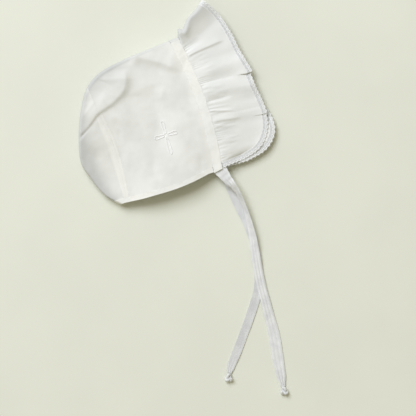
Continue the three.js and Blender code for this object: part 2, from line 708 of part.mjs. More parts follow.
const upperHang = domeHeight(0, bandBottom) - bandWall / 2 - layerGap - tieWall;
const lowerHang = bandWall + layerGap;
for (const [name, rows, height, length, loopSide] of [
  ["tie_upper", upperTieRows, upperHang, 0.22, 1],
  ["tie_lower", lowerTieRows, lowerHang, 0.06, -1],
]) {
  const frames = tieFrames(rows, height, length);
  addPiece(name, wallAbout(tieGrid(frames), tieWall), "tape");
  addPiece(`${name}_knot`, skinOver(knotGrid(frames.at(-1), loopSide)), "tape");
}

// Cross: four flared arms of satin stitch that stand up from the crown's upper side
function crossRadius(round) {
  const arm = Math.round(round / (Math.PI / 2)) % 4;
  const off = Math.abs(Math.asin(Math.sin(2 * round)) / 2);
  const upperReach = crossUpperShare * crossHeight;
  const reach = [crossWidth / 2, upperReach, crossWidth / 2, crossHeight - upperReach][arm];
  const flare = ((crossFlareShare - crossMiddleShare) * crossWidth) / reach;
  const spread = Math.max(1e-3, Math.sin(off) - flare * Math.cos(off));
  return Math.min(reach / Math.cos(off), (crossMiddleShare * crossWidth) / spread);
}

function crossGrid(crown) {
  const middle = planPoint(crossAt);
  const caster = new THREE.Raycaster();
  const downwards = new THREE.Vector3(0, 0, -1);
  const turns = 48;
  const rings = 4;
  const grid = [];
  for (let i = 0; i <= rings; i++) {
    const row = [];
    for (let j = 0; j <= turns; j++) {
      const round = 2 * Math.PI * (j / turns);
      const reach = crossRadius(round) * (i / rings);
      const x = middle.x + reach * Math.cos(round);
      const y = middle.y + reach * Math.sin(round);
      caster.set(new THREE.Vector3(x, y, 2 * puffHeight), downwards);
      const [hit] = caster.intersectObject(crown);
      row.push(new THREE.Vector3(x, y, hit.point.z + layerGap + crossWall / 2));
    }
    grid.push(row);
  }
  return grid;
}
crown.updateMatrixWorld();
addPiece("embroidered_cross", wallAbout(crossGrid(crown), crossWall, true), "embroidery");

// The origin is under the middle of the whole bonnet
const bounds = new THREE.Box3().setFromObject(bonnet);
const middle = bounds.getCenter(new THREE.Vector3());
bonnet.position.set(-middle.x, -middle.y, -bounds.min.z);

export default bonnet;
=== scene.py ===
import math

import bpy
import numpy as np
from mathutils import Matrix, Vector, noise


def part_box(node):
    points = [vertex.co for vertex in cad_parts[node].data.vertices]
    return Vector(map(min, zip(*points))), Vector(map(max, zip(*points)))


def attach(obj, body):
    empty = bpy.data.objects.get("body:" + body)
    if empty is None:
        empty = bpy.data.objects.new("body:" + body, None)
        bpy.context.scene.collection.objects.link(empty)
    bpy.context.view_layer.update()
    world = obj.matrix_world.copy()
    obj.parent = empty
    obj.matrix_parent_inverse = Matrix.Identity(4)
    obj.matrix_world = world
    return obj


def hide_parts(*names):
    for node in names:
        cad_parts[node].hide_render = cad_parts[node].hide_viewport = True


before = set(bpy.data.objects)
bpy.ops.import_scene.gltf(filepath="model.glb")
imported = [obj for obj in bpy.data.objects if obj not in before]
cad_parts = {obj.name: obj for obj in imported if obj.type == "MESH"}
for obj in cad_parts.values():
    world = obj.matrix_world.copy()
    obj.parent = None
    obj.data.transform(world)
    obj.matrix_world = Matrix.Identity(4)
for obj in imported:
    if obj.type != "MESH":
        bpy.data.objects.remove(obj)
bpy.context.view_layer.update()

# Places are worked out in millimetres from the bonnet's own nought, where the front seam meets the
# neck: x to the face, y to the top of the head, z up from the surface it lies on.
bonnet = {
    "faceHeight": 151.0,
    "crownDepth": 143.0,
    "puffHeight": 29.0,
    "frontRise": 15.0,
    "neckRise": 18.0,
    "frontBow": 7.0,
    "frontLean": 7.0,
    "frontLeanShare": 0.63,
    "neckCurve": 6.6,
    "neckCurveStart": 0.08,
    "neckCurveShare": 0.36,
    "neckShare": 0.036,
    "neckBackShare": 0.785,
    "neckBackLift": 1.5,
    "neckTuck": 5.0,
    "backCornerDrop": 0.42,
    "topCornerDrop": 0.06,
    "neckCornerDrop": 0.2,
    "bandBottom": 2.416,
    "bandDrop": 2.2,
    "foldShare": 0.45,
    "upperRollShare": 0.18,
    "lowerRollShare": 0.4,
    "seamTopShare": 0.455,
    "seamFootShare": 0.738,
    "lastBackShare": 0.95,
    "dents": [(0.35, 19.0, 0.0), (0.12, 7.0, 3.1)],
    "bandCorner": (-12.67, 0.22),
}

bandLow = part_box("front_band")[0]
noughtX = bandLow[0] * 1000 - bonnet["bandCorner"][0]
noughtY = bandLow[1] * 1000 - bonnet["bandCorner"][1]


def toFrame(points):
    return (np.asarray(points) + (noughtX, noughtY, 0.0)) * 0.001


# Camera: straight above, turned so that the bonnet leans as it lies
camera = {
    "lookAt": (-22.6, -34.7),
    "height": 1500.0,
    "width": 457.6,
    "roll": -16.06,
    "levelOfCloth": 8.0,
}


def makeCamera():
    data = bpy.data.cameras.new("camera")
    data.sensor_width = 36
    data.lens = 36 * (camera["height"] - camera["levelOfCloth"]) / camera["width"]
    rig = bpy.data.objects.new("camera", data)
    bpy.context.scene.collection.objects.link(rig)
    rig.location = toFrame((*camera["lookAt"], camera["height"]))
    rig.rotation_euler = (0, 0, math.radians(camera["roll"]))
    bpy.context.scene.camera = rig


makeCamera()
print("camera placed")


# Sums on values and on whole arrays
def mix(a, b, k):
    return a + (b - a) * k


def ease(a, b, x):
    k = np.clip((np.asarray(x, float) - a) / (b - a), 0, 1)
    return k * k * (3 - 2 * k)


def quarterRound(x):
    return np.sqrt(1 - (1 - np.clip(x, 0, 1)) ** 2)


def smoothLine(points, perPoint=24):
    # a curve through the points, cut into short straight steps
    points = np.asarray(points, float)
    last = len(points) - 1
    places = []
    for n in range(last * perPoint + 1):
        i = min(last - 1, n // perPoint)
        k = n / perPoint - i
        a, b = points[max(0, i - 1)], points[i]
        c, d = points[i + 1], points[min(last, i + 2)]
        bend = (2 * a - 5 * b + 4 * c - d) * k * k + (3 * b - a - 3 * c + d) * k ** 3
        places.append(b + 0.5 * ((c - a) * k + bend))
    return np.array(places)


def lengthsAlong(line):
    steps = np.linalg.norm(np.diff(line, axis=0), axis=1)
    return np.concatenate([[0.0], np.cumsum(steps)])


def pointAt(line, share):
    lengths = lengthsAlong(line)
    at = np.asarray(share) * lengths[-1]
    return np.stack([np.interp(at, lengths, line[:, n]) for n in range(line.shape[1])], axis=-1)


def shareWhere(line, test):
    # how far along the line the test turns true, as a share of its length
    low, high = 0.0, 1.0
    for _ in range(30):
        middle = (low + high) / 2
        if test(*pointAt(line, middle)):
            high = middle
        else:
            low = middle
    return (low + high) / 2


def nearLine(line, x, y):
    # distance to the line, left of it below nought, and how far along it that is
    a, step = line[:-1], np.diff(line, axis=0)
    lengths = np.einsum("ij,ij->i", step, step)
    offX, offY = x[:, None] - a[:, 0], y[:, None] - a[:, 1]
    k = np.clip((offX * step[:, 0] + offY * step[:, 1]) / lengths, 0, 1)
    gapX, gapY = offX - k * step[:, 0], offY - k * step[:, 1]
    gap = gapX ** 2 + gapY ** 2
    best = np.argmin(gap, axis=1)
    row = np.arange(len(x))
    turn = step[best, 0] * gapY[row, best] - step[best, 1] * gapX[row, best]
    distance = np.sqrt(gap[row, best])
    return -np.sign(turn) * distance, (best + k[row, best]) / len(step)


def ripple(x, y, size, seed=0.0):
    # even, smooth unevenness between -1 and 1 with bumps about this size
    values = [noise.noise(Vector((a / size, b / size, seed))) for a, b in zip(np.ravel(x), np.ravel(y))]
    return np.array(values).reshape(np.shape(x)) * 1.6


def planPoints(rows):
    return [(-back * bonnet["crownDepth"], up * bonnet["faceHeight"]) for back, up in rows]


# The fold over the head and down the back, then the seam in front of the back panel
foldLine = smoothLine(planPoints([
    (-0.06, 1.03), (0.1, 1.015), (0.3, 0.994), (0.49, 0.971), (0.68, 0.925), (0.804, 0.838),
    (0.895, 0.69), (0.962, 0.52), (1.0, 0.35), (0.965, 0.22), (0.893, 0.066), (0.785, -0.035),
]))
seamTop = pointAt(foldLine, bonnet["seamTopShare"])
backSeam = smoothLine([seamTop, *planPoints([
    (0.772, 0.76), (0.752, 0.6), (0.72, 0.42), (0.722, 0.25), (bonnet["seamFootShare"], 0.08),
])])
frontTop = 1.015 * bonnet["faceHeight"]

# Creases in the side that lies on top, along lines of places as the photograph has them, in
# millimetres. rise is their height, below nought for a valley; left and right are how wide they are on
# each side of the line, as one goes along it, and ends how much of its length fades away. A pair of
# values changes from the line's start to its end.
creases = [
    {"line": [(-69, 137), (-70.5, 126), (-73.5, 118), (-79, 111.5), (-90.6, 104.6), (-100.5, 100.6),
              (-110.8, 96.5), (-121, 88.7), (-129, 83.5), (-137, 80)],
     "rise": (3.8, 1.4), "left": (6.0, 1.6), "right": (20.0, 12.0), "ends": (0.13, 0.06)},
    {"line": [(-92, 113), (-104, 107), (-116, 99), (-127, 90)],
     "rise": 0.8, "left": 7.0, "right": 9.0, "ends": (0.4, 0.3)},
    {"line": [(-126, 97), (-117, 105), (-106, 113)],
     "rise": 0.5, "left": 2.6, "right": 3.0, "ends": (0.3, 0.4)},
    {"line": [(-121, 106), (-114, 115), (-106, 121)],
     "rise": 0.3, "left": 3.2, "right": 3.6, "ends": (0.3, 0.4)},
    {"line": [(-112, 126), (-103, 119), (-98, 112)],
     "rise": -0.4, "left": 7.0, "right": 6.0, "ends": (0.4, 0.4)},
    {"line": [(-133.5, 78), (-126, 66), (-119.5, 52)],
     "rise": 1.3, "left": 12.0, "right": 9.0, "ends": (0.1, 0.6)},
    {"line": [(-58, 149), (-46.5, 142.5), (-38.5, 138.4), (-28.5, 132.4), (-18.4, 125.4), (-8, 117)],
     "rise": (3.3, 3.0), "left": 17.0, "right": (7.0, 5.0), "ends": (0.12, 0.25)},
    {"line": [(-45, 112), (-45, 104), (-47, 92), (-48, 75), (-54, 54), (-64, 39), (-77, 24)],
     "rise": -2.6, "left": 12.0, "right": 18.0, "ends": (0.35, 0.3)},
    {"line": [(-33, 108), (-37, 98), (-42, 90)],
     "rise": 0.8, "left": 5.0, "right": 6.0, "ends": (0.4, 0.4)},
    {"line": [(-96, 88), (-92, 76), (-95, 62)],
     "rise": -0.8, "left": 5.0, "right": 5.0, "ends": (0.4, 0.4)},
    {"line": [(-86, 60), (-92, 42), (-97, 26)],
     "rise": 0.7, "left": 6.0, "right": 6.0, "ends": (0.4, 0.4)},
    {"line": [(-62, 40), (-68, 24), (-70, 10)],
     "rise": -0.7, "left": 6.0, "right": 6.0, "ends": (0.4, 0.3)},
    {"line": [(-13, 26), (-17, 14), (-19, 3)],
     "rise": -0.7, "left": 5.0, "right": 6.0, "ends": (0.4, 0.3)},
    {"line": [(-12, 96), (-9, 84), (-9, 70)],
     "rise": -0.5, "left": 4.0, "right": 5.0, "ends": (0.4, 0.4)},
    {"line": [(-131, 60), (-134, 40), (-127, 18)],
     "rise": 0.5, "left": 4.0, "right": 4.0, "ends": (0.3, 0.3)},
]
for crease in creases:
    crease["path"] = smoothLine(crease["line"], 8)


def alongCrease(value, share):
    first, final = value if isinstance(value, tuple) else (value, value)
    return mix(first, final, ease(0, 0.7, share))


def creaseHeight(x, y):
    total = np.zeros_like(x)
    for crease in creases:
        gap, share = nearLine(crease["path"], x, y)
        left, right = alongCrease(crease["left"], share), alongCrease(crease["right"], share)
        width = np.where(gap < 0, left, right)
        first, final = crease["ends"]
        fade = ease(0, first, share) * ease(0, final, 1 - share)
        total += alongCrease(crease["rise"], share) * fade * np.exp(-np.abs(gap / width) ** 1.6)
    return total


def domeHeight(x, y):
    back, up = -x / bonnet["crownDepth"], y / bonnet["faceHeight"]
    level = mix(bonnet["frontRise"], bonnet["neckRise"], ease(0, 0.3, back))
    puff = (bonnet["puffHeight"] - bonnet["neckRise"]) * ease(0.2, 0.85, back) * ease(0.25, 1, up)
    backCorner = 1 - bonnet["backCornerDrop"] * ease(0.5, 0.82, back) * (1 - ease(0.02, 0.55, up))
    topCorner = 1 - bonnet["topCornerDrop"] * ease(0.6, 1.05, up)
    neckCorner = 1 - bonnet["neckCornerDrop"] * (1 - ease(0, 0.25, back)) * (1 - ease(0, 0.4, up))
    return (level + puff) * backCorner * topCorner * neckCorner


def clothHeight(x, y, side, wall):
    # height of the cloth's middle over a place, on the upper side (1) or the one below (-1)
    shape = np.shape(x)
    x, y, side = (np.ravel(a).astype(float) for a in np.broadcast_arrays(x, y, side))
    high = domeHeight(x, y)
    distance = np.abs(nearLine(foldLine, x, y)[0])
    fold = high * bonnet["foldShare"]
    rolled = quarterRound(distance / (high * bonnet["upperRollShare"]))
    fine = sum(rise * ripple(x, y, size, seed) for rise, size, seed in bonnet["dents"])
    upper = mix(fold, high, rolled) + (creaseHeight(x, y) + fine) * ease(0, 0.9, rolled)
    lower = mix(fold, wall / 2, quarterRound(distance / (high * bonnet["lowerRollShare"])))
    return np.where(side < 0, lower, upper).reshape(shape)


def frontX(y):
    k = y / frontTop
    bow = bonnet["frontBow"] * np.sin(math.pi * np.clip(k, 0, 1))
    return bonnet["frontLean"] * (bonnet["frontLeanShare"] - k) + bow


def neckY(x, side):
    depth = bonnet["crownDepth"]
    start = bonnet["neckCurveStart"] * depth
    k = np.clip((-x - start) / (bonnet["neckCurveShare"] * depth), 0, 1)
    fromBack = ease(0, 0.2, (x + bonnet["neckBackShare"] * depth) / depth)
    climb = bonnet["neckCurve"] * (1 - k) ** 2 + bonnet["neckBackLift"] * (1 - fromBack)
    tuck = np.where(side < 0, bonnet["neckTuck"] * fromBack, 0)
    return climb + tuck - bonnet["neckShare"] * bonnet["faceHeight"]


def belowNeck(rise):
    # tells places on the fold that lie under the neck edge raised by this much
    def test(x, y):
        return x > -bonnet["lastBackShare"] * bonnet["crownDepth"] and y < neckY(x, 1) + rise
    return test


# Making a sheet: a flat grid is added, and each of its vertices is moved to its place
def deselectAll():
    bpy.ops.object.select_all(action="DESELECT")


def sheetPiece(name, columns, rows, place, wall, closeAngle=40):
    deselectAll()
    bpy.ops.mesh.primitive_grid_add(x_subdivisions=columns, y_subdivisions=rows, size=1, calc_uvs=True)
    piece = bpy.context.object
    piece.name = name
    flat = np.empty(len(piece.data.vertices) * 3)
    piece.data.vertices.foreach_get("co", flat)
    flat = flat.reshape(-1, 3)
    points = toFrame(place(flat[:, 0] + 0.5, flat[:, 1] + 0.5))
    piece.data.vertices.foreach_set("co", points.ravel())
    piece.data.update()
    if wall:
        solid = piece.modifiers.new("wall", "SOLIDIFY")
        solid.thickness = wall * 0.001
        solid.offset = 0
        bpy.ops.object.modifier_apply(modifier=solid.name)
    bpy.ops.object.shade_smooth_by_angle(angle=math.radians(closeAngle))
    return piece


def dress(piece, material, slotName, *nodes):
    piece.data.materials.clear()
    piece.data.materials.append(material)
    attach(piece, "root")
    if nodes:
        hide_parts(*nodes)


def joined(name, pieces):
    deselectAll()
    for piece in pieces:
        piece.select_set(True)
    bpy.context.view_layer.objects.active = pieces[0]
    bpy.ops.object.join()
    pieces[0].name = name
    return pieces[0]


def threadPiece(name, lines, thickness, sides=0):
    # thin round threads along lines of points in millimetres
    data = bpy.data.curves.new(name, "CURVE")
    data.dimensions = "3D"
    data.bevel_depth = thickness * 0.0005
    data.bevel_resolution = sides
    data.use_fill_caps = True
    for line in lines:
        spline = data.splines.new("POLY")
        spline.points.add(len(line) - 1)
        for point, place in zip(spline.points, toFrame(line)):
            point.co = (*place, 1)
    piece = bpy.data.objects.new(name, data)
    bpy.context.scene.collection.objects.link(piece)
    deselectAll()
    piece.select_set(True)
    bpy.context.view_layer.objects.active = piece
    bpy.ops.object.convert(target="MESH")
    piece = bpy.context.object
    bpy.ops.object.shade_smooth_by_angle(angle=math.radians(60))
    return piece


# Materials: a socket wrapped so that sums of sockets read as plain arithmetic
class Wire:
    def __init__(self, finish, socket):
        self.finish = finish
        self.socket = socket

    def sum(self, operation, first, second):
        return self.finish.node("ShaderNodeMath", {"operation": operation}, {0: first, 1: second})

    def __add__(self, other):
        return self.sum("ADD", self, other)

    def __sub__(self, other):
        return self.sum("SUBTRACT", self, other)

    def __rsub__(self, other):
        return self.sum("SUBTRACT", other, self)

    def __mul__(self, other):
        return self.sum("MULTIPLY", self, other)

    __radd__ = __add__
    __rmul__ = __mul__


class Finish:
    def __init__(self, name, roughness, sheen=0.0):
        self.material = bpy.data.materials.new(name)
        self.material.use_nodes = True
        self.tree = self.material.node_tree
        self.shader = self.tree.nodes["Principled BSDF"]
        self.shader.inputs["Roughness"].default_value = roughness
        self.shader.inputs["Specular IOR Level"].default_value = 0.25
        self.shader.inputs["Sheen Weight"].default_value = sheen
        self.shader.inputs["Sheen Roughness"].default_value = 0.6

    def node(self, kind, settings=None, sockets=None, output=0):
        made = self.tree.nodes.new(kind)
        for key, value in (settings or {}).items():
            setattr(made, key, value)
        for key, value in (sockets or {}).items():
            if isinstance(value, Wire):
                self.tree.links.new(value.socket, made.inputs[key])
            else:
                made.inputs[key].default_value = value
        return Wire(self, made.outputs[output])

    def blend(self, share, first, second):
        return self.node("ShaderNodeMix", {"data_type": "RGBA"}, {0: share, 6: first, 7: second}, 2)

    def range(self, value, low, high, toLow=0.0, toHigh=1.0):
        return self.node("ShaderNodeMapRange", {"interpolation_type": "SMOOTHSTEP"},
                         {0: value, 1: low, 2: high, 3: toLow, 4: toHigh})

    def across(self):
        place = self.node("ShaderNodeTexCoord", output="UV")
        return (self.node("ShaderNodeSeparateXYZ", None, {0: place}, n) for n in (0, 1))

    def clouds(self, scale, detail):
        place = self.node("ShaderNodeTexCoord", output="Object")
        return self.node("ShaderNodeTexNoise", None, {"Vector": place, "Scale": scale, "Detail": detail})

    def waves(self, value):
        return self.node("ShaderNodeMath", {"operation": "SINE"}, {0: value})

    def feed(self, name, wire):
        self.tree.links.new(wire.socket, self.shader.inputs[name])

    def raised(self, height, strength, depth):
        sockets = {"Strength": strength, "Distance": depth, "Height": height}
        self.feed("Normal", self.node("ShaderNodeBump", None, sockets))


def colour(red, green, blue):
    # from the numbers of a picture, 0 to 255, to light
    return (*(((c / 255 + 0.055) / 1.055) ** 2.4 for c in (red, green, blue)), 1.0)


cloth = {
    "warm": colour(239, 240, 236),
    "shade": colour(231, 232, 228),
    "ruffle": colour(237, 238, 235),
    "ruffleShade": colour(231, 233, 230),
    # painted shade for where the cloth folds over
    "paintedFoldShade": colour(196, 198, 196),
    "doubled": colour(246, 246, 240),
    "tape": colour(236, 237, 236),
    "tapeShade": colour(226, 228, 228),
    # painted shade: a darker copy of the tape for the lower tie and the knots
    "tapePaintedShade": colour(224, 226, 225),
    "tapePaintedShadeDark": colour(215, 217, 217),
    "thread": colour(250, 250, 249),
    "lace": colour(220, 223, 223),
    "laceEye": colour(180, 184, 187),
    "laceThread": colour(247, 248, 247),
    "threadsPerMillimetre": 2.2,
    "weaveDepth": 0.00006,
    "slubs": 0.5,
}


def weave(finish, width, length):
    # raised threads both ways, in a sheet of this width and length in millimetres
    u, v = finish.across()
    turns = 2 * math.pi * cloth["threadsPerMillimetre"]
    warp = finish.waves(u * (width * turns))
    weft = finish.waves(v * (length * turns))
    return warp * weft * 0.5 + finish.clouds(900.0, 2.0) * cloth["slubs"]


def clothFinish(name, width, length, light, dark, lighter=None, paintedFoldShade=None):
    finish = Finish(name, 0.88, 0.15)
    base = finish.blend(finish.range(finish.clouds(38.0, 4.0), 0.35, 0.65), light, dark)
    threads = weave(finish, width, length)
    base = finish.blend(finish.range(threads, -0.2, 0.7, 0.12, 0.0), base, dark)
    if lighter:
        base = finish.blend(lighter(finish), base, cloth["doubled"])
    # painted shade blended in where the cloth folds over
    if paintedFoldShade:
        base = finish.blend(paintedFoldShade(finish), base, cloth["paintedFoldShade"])
    finish.feed("Base Color", base)
    finish.raised(threads, 0.5, cloth["weaveDepth"])
    return finish.material


# Crown, round the head from ear to ear
crown = {
    "columns": 130, "rows": 190, "wall": 0.55, "bandWidth": 10.0, "hemWidth": 5.5, "seamGap": 0.06,
    "seamWidth": 3.4, "seamRise": 0.28, "depthToSeam": 110.0,
}
frontAllowance = crown["bandWidth"] + crown["seamGap"]
neckAllowance = crown["hemWidth"] + crown["seamGap"]
crownStart = shareWhere(foldLine, lambda x, y: x < frontX(y) - frontAllowance)


def bothSides(v):
    # from 0 at the lower edge over the fold at one half to 1 at the upper edge
    side = np.where(v < 0.5, -1.0, 1.0)
    fromFold = np.abs(v - 0.5) * 2
    return side, fromFold ** 1.35


def backSeamPoint(t, side):
    point = pointAt(backSeam, t)
    neckX = -bonnet["seamFootShare"] * bonnet["crownDepth"]
    end = neckY(neckX, side) + neckAllowance
    point[..., 1] += (end - backSeam[-1, 1]) * ease(0.6, 1, t)
    return point


def crownPlan(u, t, side):
    top = pointAt(foldLine, mix(crownStart, bonnet["seamTopShare"], u))
    topFront = pointAt(foldLine, crownStart)

    def frontEdge(k):
        low = neckY(frontX(0.0) - crown["bandWidth"], side) + neckAllowance
        y = mix(topFront[1], low, k)
        edge = frontX(y) - frontAllowance
        return np.stack([mix(topFront[0], edge, ease(0, 0.04, k)), y + 0 * u], axis=-1)

    ones = np.ones_like(u)
    bottomBack = backSeamPoint(ones, side)
    bottomFront = frontEdge(ones)
    bottomX = mix(bottomFront[:, 0], bottomBack[:, 0], u)
    bottom = np.stack([bottomX, neckY(bottomX, side) + neckAllowance], axis=-1)
    k, w = t[:, None], u[:, None]
    point = mix(top, bottom, k)
    point += (frontEdge(t) - mix(topFront, bottomFront, k)) * (1 - w)
    point += (backSeamPoint(t, side) - mix(seamTop, bottomBack, k)) * w
    return point


def seamRidge(distance):
    # the turned-in allowance along a seam stands a little proud
    return crown["seamRise"] * (1 - ease(crown["seamWidth"] - 0.5, crown["seamWidth"] + 0.4, distance))


def placeCrown(u, v):
    side, t = bothSides(v)
    plan = crownPlan(u, t, side)
    height = clothHeight(plan[:, 0], plan[:, 1], side, crown["wall"])
    height += np.where(side > 0, seamRidge((1 - u) * crown["depthToSeam"]), 0) * ease(0.2, 0.4, t)
    return np.column_stack([plan, height])


def crownSeamLight(finish):
    # the turned-in cloth shows through beside both seams, less so towards the fold at the back
    u, v = finish.across()
    back = finish.range(u, 0.958, 0.974) * finish.range(v, 0.64, 0.8) * 0.7
    return back + (1 - finish.range(u, 0.0, 0.08)) * 0.35


def awayFrom(finish, value, middle):
    return finish.node("ShaderNodeMath", {"operation": "ABSOLUTE"}, {0: value - middle})


def crownPaintedFoldShade(finish):
    # painted shade where the cloth folds over, darker and wider the more so at the back
    u, v = finish.across()
    fromFold = awayFrom(finish, v, 0.5)
    narrow = (1 - finish.range(fromFold - u * 0.03, 0.012, 0.036)) * 0.6
    return narrow + (1 - finish.range(fromFold, 0.04, 0.18)) * finish.range(u, 0.4, 0.72) * 0.45


crownPiece = sheetPiece("crown_cloth", crown["columns"], crown["rows"], placeCrown, crown["wall"])
crownCotton = clothFinish("crownCotton", crown["depthToSeam"], 290, cloth["warm"], cloth["shade"],
                          crownSeamLight, crownPaintedFoldShade)
dress(crownPiece, crownCotton, "cotton", "crown")
print("crown made")


# Back panel, folded down its middle
backPanel = {"columns": 90, "rows": 100, "wall": 0.55}
foldEnd = shareWhere(foldLine, belowNeck(neckAllowance))


def placeBackPanel(u, v):
    t = (1 - v) ** 1.2
    side = np.where(u < 0.5, -1.0, 1.0)
    share = (np.abs(u - 0.5) * 2) ** 1.3
    fold = pointAt(foldLine, mix(bonnet["seamTopShare"], foldEnd, t))
    seam = backSeamPoint(t, side)
    seam[:, 0] -= crown["seamGap"]
    plan = mix(fold, seam, share[:, None])
    height = clothHeight(plan[:, 0], plan[:, 1], side, backPanel["wall"])
    away = np.abs(plan[:, 0] - seam[:, 0])
    height += np.where(side > 0, seamRidge(away), 0) * ease(0.2, 0.4, t)
    return np.column_stack([plan, height])


def panelSeamLight(finish):
    u, v = finish.across()
    return finish.range(u, 0.92, 0.95) * (1 - finish.range(v, 0.5, 0.72)) * 0.7


def panelPaintedFoldShade(finish):
    # painted shade along the panel's fold, wider towards its top
    u, v = finish.across()
    atTop = finish.range(v, 0.72, 1.0) * 0.3
    return (1 - finish.range(awayFrom(finish, u, 0.5) - atTop, 0.08, 0.36)) * 0.8


backPiece = sheetPiece("back_panel_cloth", backPanel["columns"], backPanel["rows"], placeBackPanel,
                       backPanel["wall"])
backCotton = clothFinish("backCotton", 75, 150, cloth["warm"], cloth["shade"], panelSeamLight, panelPaintedFoldShade)
dress(backPiece, backCotton, "cotton", "back_panel")
print("back panel made")


# Front band, doubled cloth that holds the ruffle's gathers
band = {
    "columns": 12, "rows": 260, "wall": 1.0,
    "waver": 0.55, "waverLength": 6.5, "pucker": 0.12, "swell": 0.2,
}


def seamWaver(y):
    # the gathers push the front seam a little this way and that
    return band["waver"] * ripple(y, 0 * y, band["waverLength"], 8.2)


def placeBand(u, v):
    side, t = bothSides(v)
    inward = (1 - u) * crown["bandWidth"]
    topY = np.full_like(u, 0.0)
    for share in np.unique(inward):
        top = pointAt(foldLine, shareWhere(foldLine, lambda x, y: x < frontX(y) - share))
        topY[inward == share] = top[1]
    y = mix(topY, bonnet["bandBottom"] - bonnet["bandDrop"] * (1 - u), t)
    x = frontX(y) - inward
    height = clothHeight(x, y, side, band["wall"])
    x += np.where(side > 0, seamWaver(y) * u, 0)
    pucker = band["pucker"] * ripple(y, x, 2.2, 7.7) + band["swell"] * np.sin(math.pi * u)
    return np.column_stack([x, y, height + np.where(side > 0, pucker, 0)])


def bandPaintedFoldShade(finish):
    # painted shade where the band folds over
    u, v = finish.across()
    return (1 - finish.range(awayFrom(finish, v, 0.5), 0.012, 0.036)) * 0.8


bandPiece = sheetPiece("front_band_cloth", band["columns"], band["rows"], placeBand, band["wall"])
bandCotton = clothFinish("bandCotton", 10, 300, cloth["doubled"], cloth["warm"], paintedFoldShade=bandPaintedFoldShade)
dress(bandPiece, bandCotton, "doubled_cotton", "front_band")
print("front band made")


# Neck hem
hem = {"columns": 8, "rows": 220, "wall": 1.0, "pucker": 0.1}
hemFront = frontX(0.0) - frontAllowance


def placeHem(u, v):
    side, share = bothSides(v)
    rise = u * crown["hemWidth"]
    endX = np.zeros_like(u)
    endY = np.zeros_like(u)
    for step in np.unique(rise):
        end = pointAt(foldLine, shareWhere(foldLine, belowNeck(step)))
        endX[rise == step], endY[rise == step] = end
    x = mix(endX, hemFront, share)
    y = neckY(x, side) + rise
    y = mix(endY, y, ease(0, 0.02, share))
    height = clothHeight(x, y, side, hem["wall"])
    pucker = hem["pucker"] * ripple(x, y, 3.0, 2.2) * np.where(side > 0, 1, 0)
    return np.column_stack([x, y, height + pucker])


hemPiece = sheetPiece("neck_hem_cloth", hem["columns"], hem["rows"], placeHem, hem["wall"])
hemCotton = clothFinish("hemCotton", 6, 230, cloth["doubled"], cloth["warm"])
dress(hemPiece, hemCotton, "doubled_cotton", "neck_hem")
print("neck hem made")


# Ruffle. Its folds are told by where they start along the seam, from the fold over the head (0) to
# the neck (1), and where they reach its outer edge; rise is in millimetres, before and after are how
# wide a fold is on the side of the head and on that of the neck, and until is how far out it goes.
ruffle = {
    "columns": 36, "rows": 1000, "wall": 0.5, "width": 55.0, "rise": 9.0,
    "seamRoll": 0.05, "edgeRoll": 0.018, "edgeFold": 0.9, "laceWidth": 6.5,
    "gather": 0.3, "gatherPitch": 3.3, "waves": 7, "waveRise": 1.4, "softRise": 0.6, "seamSoftRise": 0.28,
    "endRise": 7.4, "lowerEndRise": 6.6, "layerGap": 0.9,
    "topPuffs": [
        {"out": 0.09, "wide": 0.08, "rise": 6.4},
        {"out": 0.5, "wide": 0.22, "rise": 3.2},
    ],
    "steps": [
        {"at": 0.398, "tuck": 3.4, "width": 1.8, "lift": 2.4, "jut": 2.2, "ramp": 9.0},
        {"at": 0.702, "tuck": 2.0, "width": 1.5, "lift": 0.5, "jut": 0.8, "ramp": 7.0},
    ],
    "folds": [
        {"seam": 0.0, "edge": 0.01, "rise": 7.0, "before": 9.0, "after": 7.0, "until": 2},
        {"seam": 0.1, "edge": 0.075, "rise": -1.6, "before": 5.0, "after": 5.0, "until": 2},
        {"seam": 0.157, "edge": 0.166, "rise": 1.15, "before": 3.6, "after": 1.3, "until": 0.93},
        {"seam": 0.24, "edge": 0.24, "rise": -0.6, "before": 6.0, "after": 6.0, "until": 2},
        {"seam": 0.33, "edge": 0.31, "rise": 0.7, "before": 6.0, "after": 6.0, "until": 2},
        {"seam": 0.388, "edge": 0.392, "rise": -1.0, "before": 7.0, "after": 2.5, "until": 0.85},
        {"seam": 0.462, "edge": 0.474, "rise": 1.2, "before": 7.0, "after": 6.0, "until": 2},
        {"seam": 0.532, "edge": 0.503, "rise": -0.9, "before": 3.6, "after": 2.4, "until": 0.6},
        {"seam": 0.6, "edge": 0.67, "rise": 0.7, "before": 1.5, "after": 1.6, "until": 0.55},
        {"seam": 0.65, "edge": 0.64, "rise": -0.5, "before": 4.0, "after": 2.5, "until": 2},
        {"seam": 0.686, "edge": 0.693, "rise": 1.0, "before": 6.0, "after": 2.0, "until": 0.62},
        {"seam": 0.722, "edge": 0.74, "rise": 0.6, "before": 1.3, "after": 1.5, "until": 0.3},
        {"seam": 0.77, "edge": 0.78, "rise": -0.5, "before": 3.0, "after": 4.0, "until": 0.6},
        {"seam": 0.93, "edge": 0.93, "rise": 0.7, "before": 7.0, "after": 8.0, "until": 2},
    ],
}
upperEdge = smoothLine([
    (0, 0.53, 1.21), (0.04, 0.68, 1.147), (0.09, 0.815, 1.05), (0.165, 0.91, 0.925), (0.24, 0.955, 0.8225),
    (0.32, 1.005, 0.735), (0.4, 1.055, 0.636), (0.5, 1.075, 0.52), (0.6, 1.12, 0.42), (0.7, 1.135, 0.32),
    (0.8, 1.09, 0.23), (0.9, 0.96, 0.15), (0.96, 0.79, 0.105), (1, 0.55, 0.079),
])
